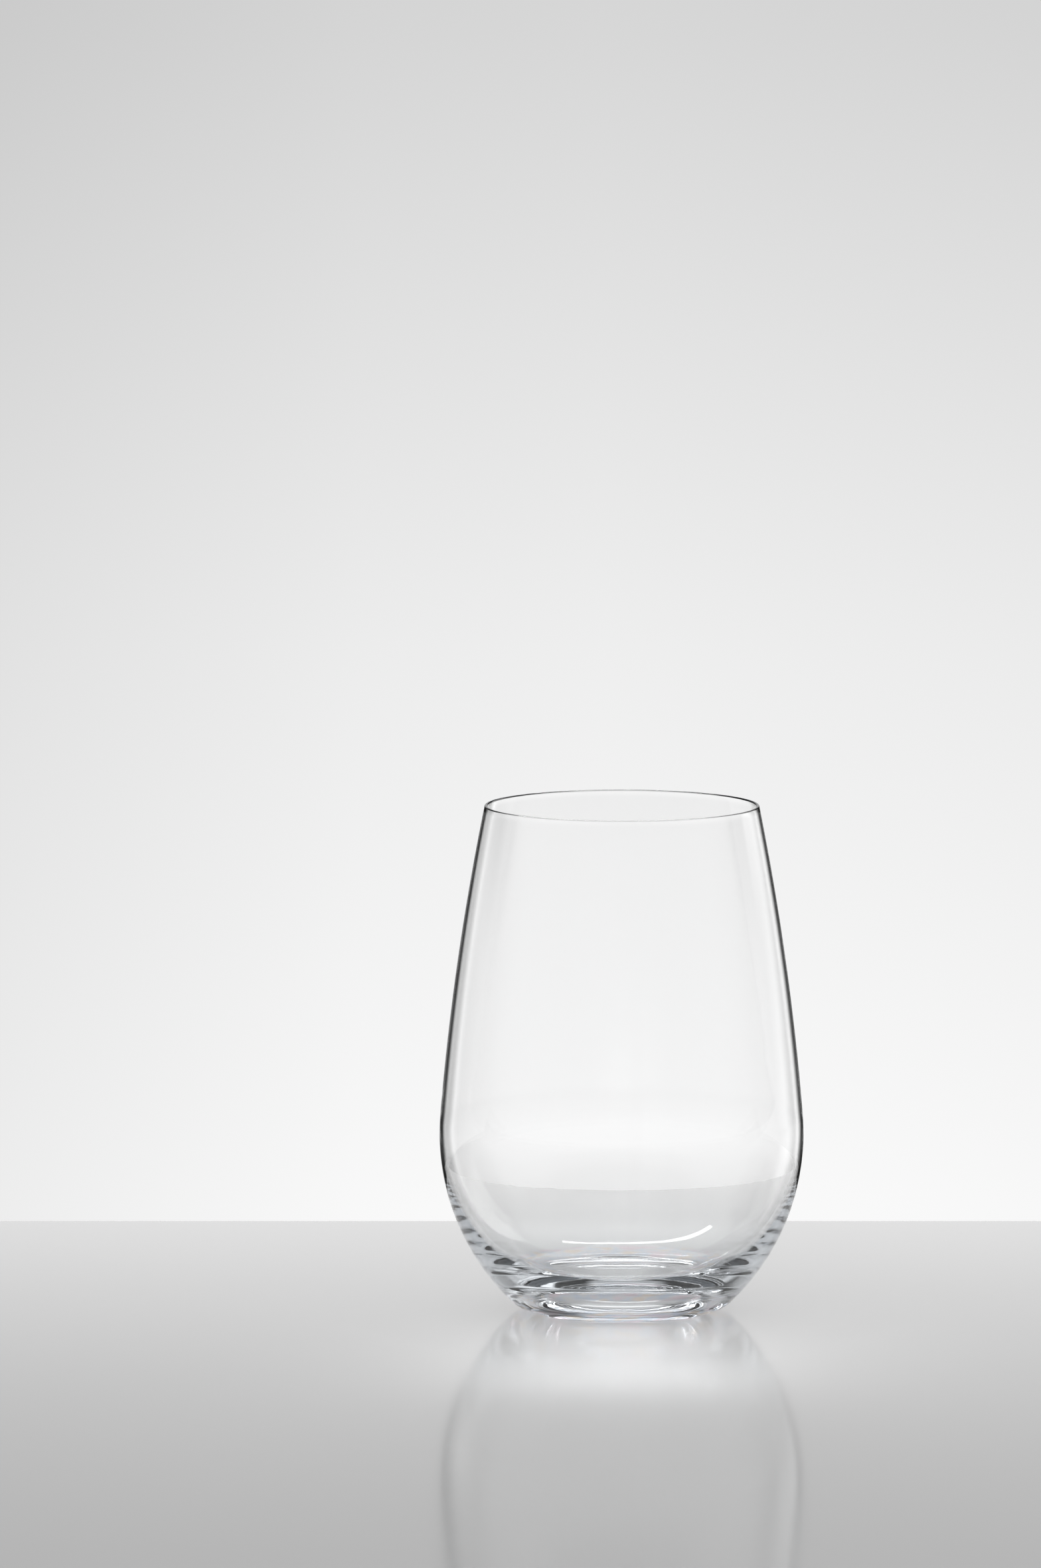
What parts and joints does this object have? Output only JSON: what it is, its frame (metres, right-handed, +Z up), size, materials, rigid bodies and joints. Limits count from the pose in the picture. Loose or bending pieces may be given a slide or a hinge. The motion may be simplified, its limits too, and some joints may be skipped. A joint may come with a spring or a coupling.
{
  "type": "stemless wine glass",
  "caption": "Clear stemless wine glass with a thin egg-shaped bowl that draws in to the mouth, a rounded heel of thicker glass and a dished floor with a shallow hollow under it.",
  "frame": {"origin": "centre of the resting ring, on the surface that the glass stands on", "axes": "+Z up along the glass's axis of revolution, from the base to the mouth; X and Y are alike"},
  "size_m": [0.0776, 0.0776, 0.108],
  "materials": {
    "clear_glass": "clear colourless glass, smooth and fire-polished"
  },
  "bodies": {
    "root": {"wine_glass": "clear_glass"}
  },
  "joints": []
}
